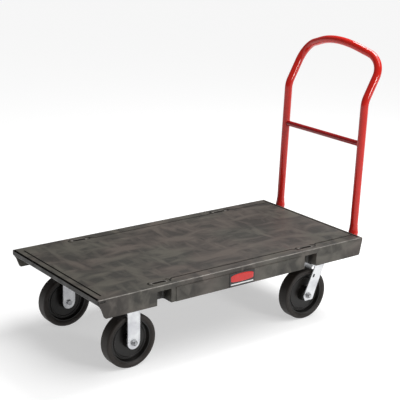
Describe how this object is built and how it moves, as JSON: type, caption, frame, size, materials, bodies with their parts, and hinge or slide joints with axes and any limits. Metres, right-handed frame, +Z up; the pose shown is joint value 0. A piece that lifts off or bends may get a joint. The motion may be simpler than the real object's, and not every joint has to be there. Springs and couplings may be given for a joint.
{
  "type": "platform cart",
  "caption": "Platform cart with a moulded plastic deck on rigid and swivel casters, tie-down slots in its edges and a red lift-out tube handle with a crossbar.",
  "frame": {"origin": "on the floor, under the middle of the cart's overall box", "axes": "+X towards the handle end, +Y towards the far long side, away from the badge, +Z up"},
  "size_m": [1.3609, 0.6197, 1.0613],
  "materials": {
    "deck_plastic": "moulded structural foam, dull, faintly mottled",
    "frame_steel": "black paint",
    "red_paint": "glossy red powder coat",
    "black_plastic": "moulded",
    "badge_black": "printed panel",
    "badge_red": "domed enamel",
    "badge_white": "printed strip",
    "zinc_plate": "bright zinc plate",
    "zinc_fastener": "zinc plated",
    "seal_rubber": "moulded",
    "wheel_core": "moulded phenolic",
    "wheel_tread": "solid rubber",
    "bearing_steel": "ground",
    "insert_brass": "machined"
  },
  "bodies": {
    "deck": {"badge_pillow": "badge_red", "badge_plate": "badge_black", "badge_strip": "badge_white", "bracket_bolts": "zinc_fastener", "bracket_nuts": "zinc_fastener", "caster_bolts": "zinc_fastener", "caster_inserts": "insert_brass", "caster_washers": "zinc_fastener", "cross_member_front": "frame_steel", "cross_member_rear": "frame_steel", "deck_shell": "deck_plastic", "handle_socket_far": "red_paint", "handle_socket_near": "red_paint", "kingpin_nuts": "zinc_fastener", "kingpins": "zinc_fastener", "race_seal_far": "seal_rubber", "race_seal_near": "seal_rubber", "rail_screws": "zinc_fastener", "rigid_axle_bolts": "zinc_fastener", "rigid_axle_nuts": "zinc_fastener", "rigid_fork_far": "zinc_plate", "rigid_fork_near": "zinc_plate", "rigid_sleeves": "zinc_fastener", "socket_bracket_far": "frame_steel", "socket_bracket_near": "frame_steel", "stiffener_rail_far": "frame_steel", "stiffener_rail_near": "frame_steel", "swivel_balls": "bearing_steel", "swivel_plate_far": "zinc_plate", "swivel_plate_near": "zinc_plate"},
    "handle": {"handle_tube": "red_paint", "handle_crossbar": "red_paint", "handle_collars": "red_paint", "handle_plugs": "black_plastic"},
    "swivel_near": {"swivel_fork_near": "zinc_plate", "swivel_axle_bolt_near": "zinc_fastener", "swivel_axle_nut_near": "zinc_fastener", "swivel_sleeve_near": "zinc_fastener"},
    "swivel_far": {"swivel_fork_far": "zinc_plate", "swivel_axle_bolt_far": "zinc_fastener", "swivel_axle_nut_far": "zinc_fastener", "swivel_sleeve_far": "zinc_fastener"},
    "wheel_rigid_near": {"wheel_core_rigid_near": "wheel_core", "wheel_tread_rigid_near": "wheel_tread", "wheel_bearing_rigid_near": "bearing_steel"},
    "wheel_rigid_far": {"wheel_core_rigid_far": "wheel_core", "wheel_tread_rigid_far": "wheel_tread", "wheel_bearing_rigid_far": "bearing_steel"},
    "wheel_swivel_near": {"wheel_core_swivel_near": "wheel_core", "wheel_tread_swivel_near": "wheel_tread", "wheel_bearing_swivel_near": "bearing_steel"},
    "wheel_swivel_far": {"wheel_core_swivel_far": "wheel_core", "wheel_tread_swivel_far": "wheel_tread", "wheel_bearing_swivel_far": "bearing_steel"}
  },
  "joints": [
    {"name": "handle_lift", "type": "slide", "parent": "deck", "child": "handle", "axis": [0.0325, 0, 0.9995], "range_m": [0, 0.06]},
    {"name": "swivel_near_turn", "type": "hinge", "parent": "deck", "child": "swivel_near", "pos_m": [0.374, -0.224, 0.2235], "axis": [0, 0, 1], "continuous": true},
    {"name": "swivel_far_turn", "type": "hinge", "parent": "deck", "child": "swivel_far", "pos_m": [0.374, 0.224, 0.2235], "axis": [0, 0, 1], "continuous": true},
    {"name": "rigid_near_roll", "type": "hinge", "parent": "deck", "child": "wheel_rigid_near", "pos_m": [-0.508, -0.224, 0.1016], "axis": [0, 1, 0], "continuous": true},
    {"name": "rigid_far_roll", "type": "hinge", "parent": "deck", "child": "wheel_rigid_far", "pos_m": [-0.508, 0.224, 0.1016], "axis": [0, 1, 0], "continuous": true},
    {"name": "swivel_near_roll", "type": "hinge", "parent": "swivel_near", "child": "wheel_swivel_near", "pos_m": [0.308, -0.224, 0.1016], "axis": [0, 1, 0], "continuous": true},
    {"name": "swivel_far_roll", "type": "hinge", "parent": "swivel_far", "child": "wheel_swivel_far", "pos_m": [0.308, 0.224, 0.1016], "axis": [0, 1, 0], "continuous": true}
  ]
}
